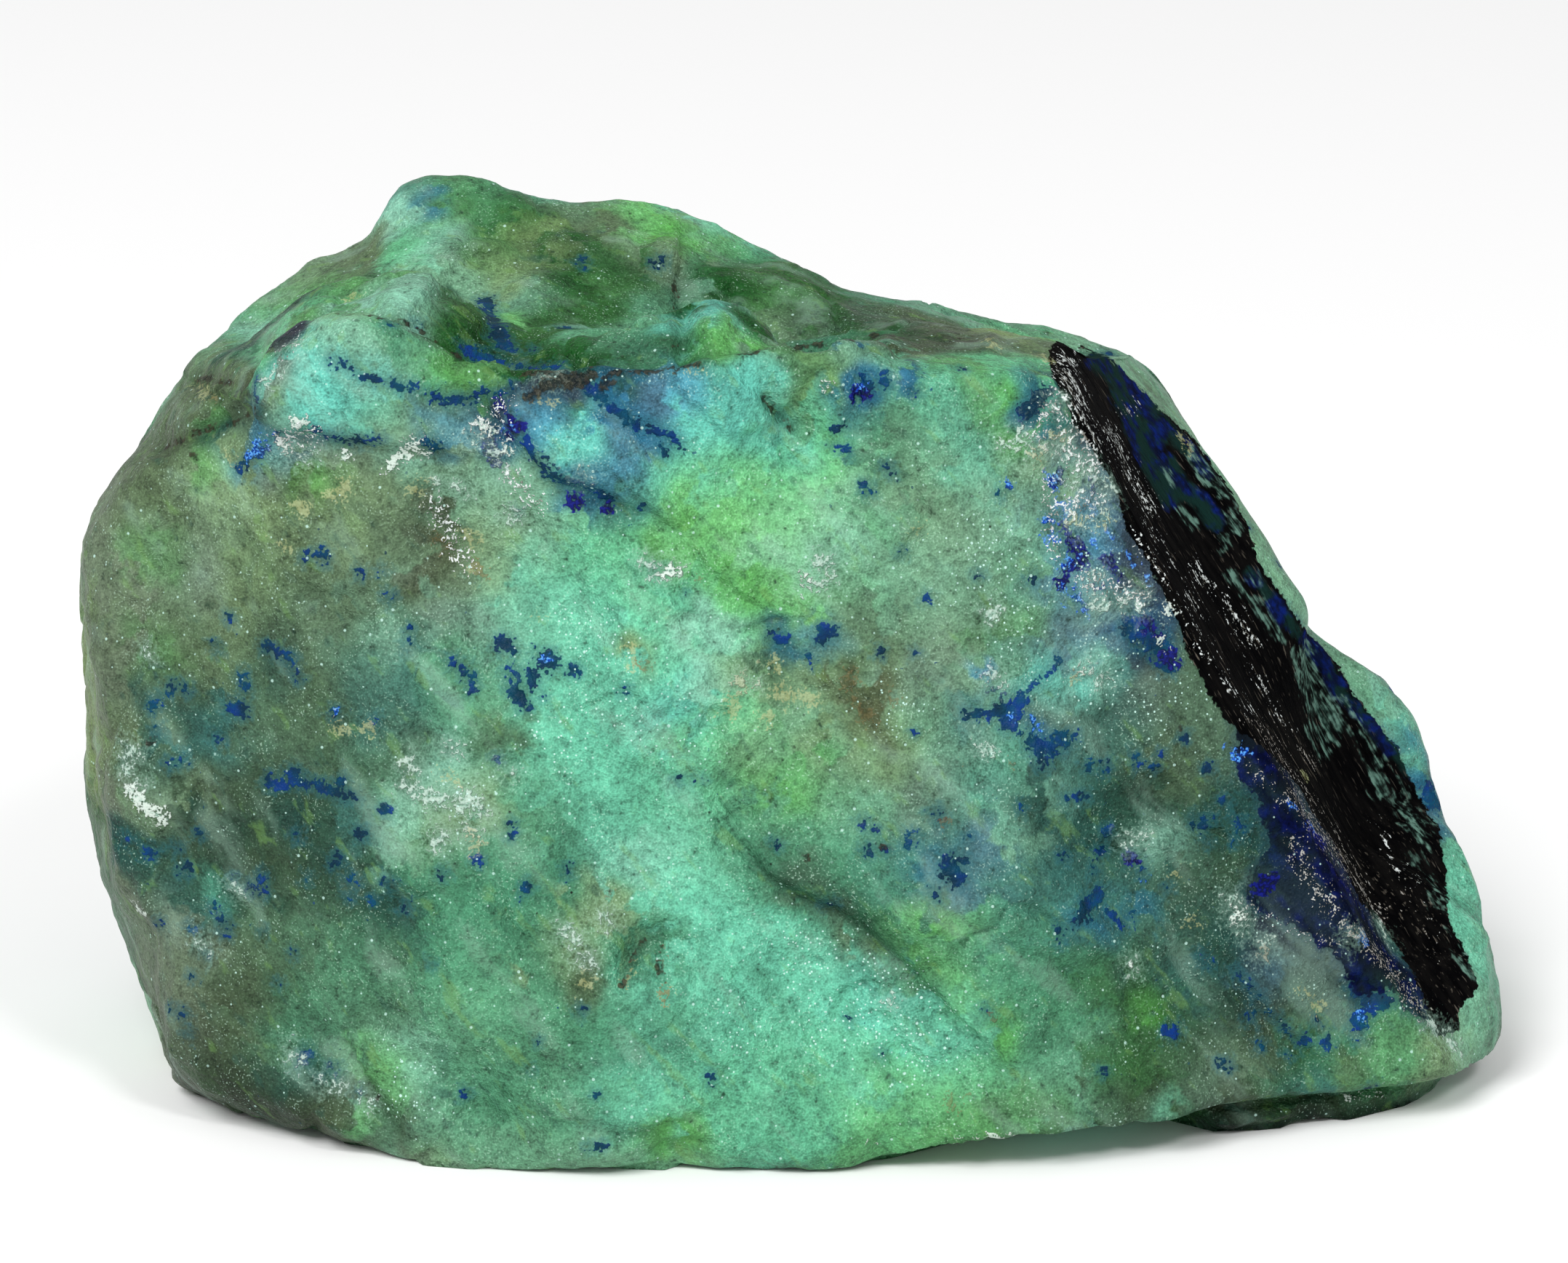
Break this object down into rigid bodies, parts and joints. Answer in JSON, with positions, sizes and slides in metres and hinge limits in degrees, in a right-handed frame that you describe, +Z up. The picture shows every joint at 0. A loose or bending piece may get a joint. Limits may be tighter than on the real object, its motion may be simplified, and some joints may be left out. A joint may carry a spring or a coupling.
{
  "type": "mineral specimen",
  "caption": "Rough lump of azurite malachite rock, broken on every side, with a hollow in its top and a steep flat slab face on its right flank.",
  "frame": {"origin": "on the table, under the middle of the stone's bounding box", "axes": "+X to the right along the stone's length, -Y to the front, +Z up"},
  "size_m": [0.0652, 0.0392, 0.0399],
  "materials": {
    "stone": "rough broken rock, waxy to sugary"
  },
  "bodies": {
    "root": {"stone": "stone"}
  },
  "joints": []
}
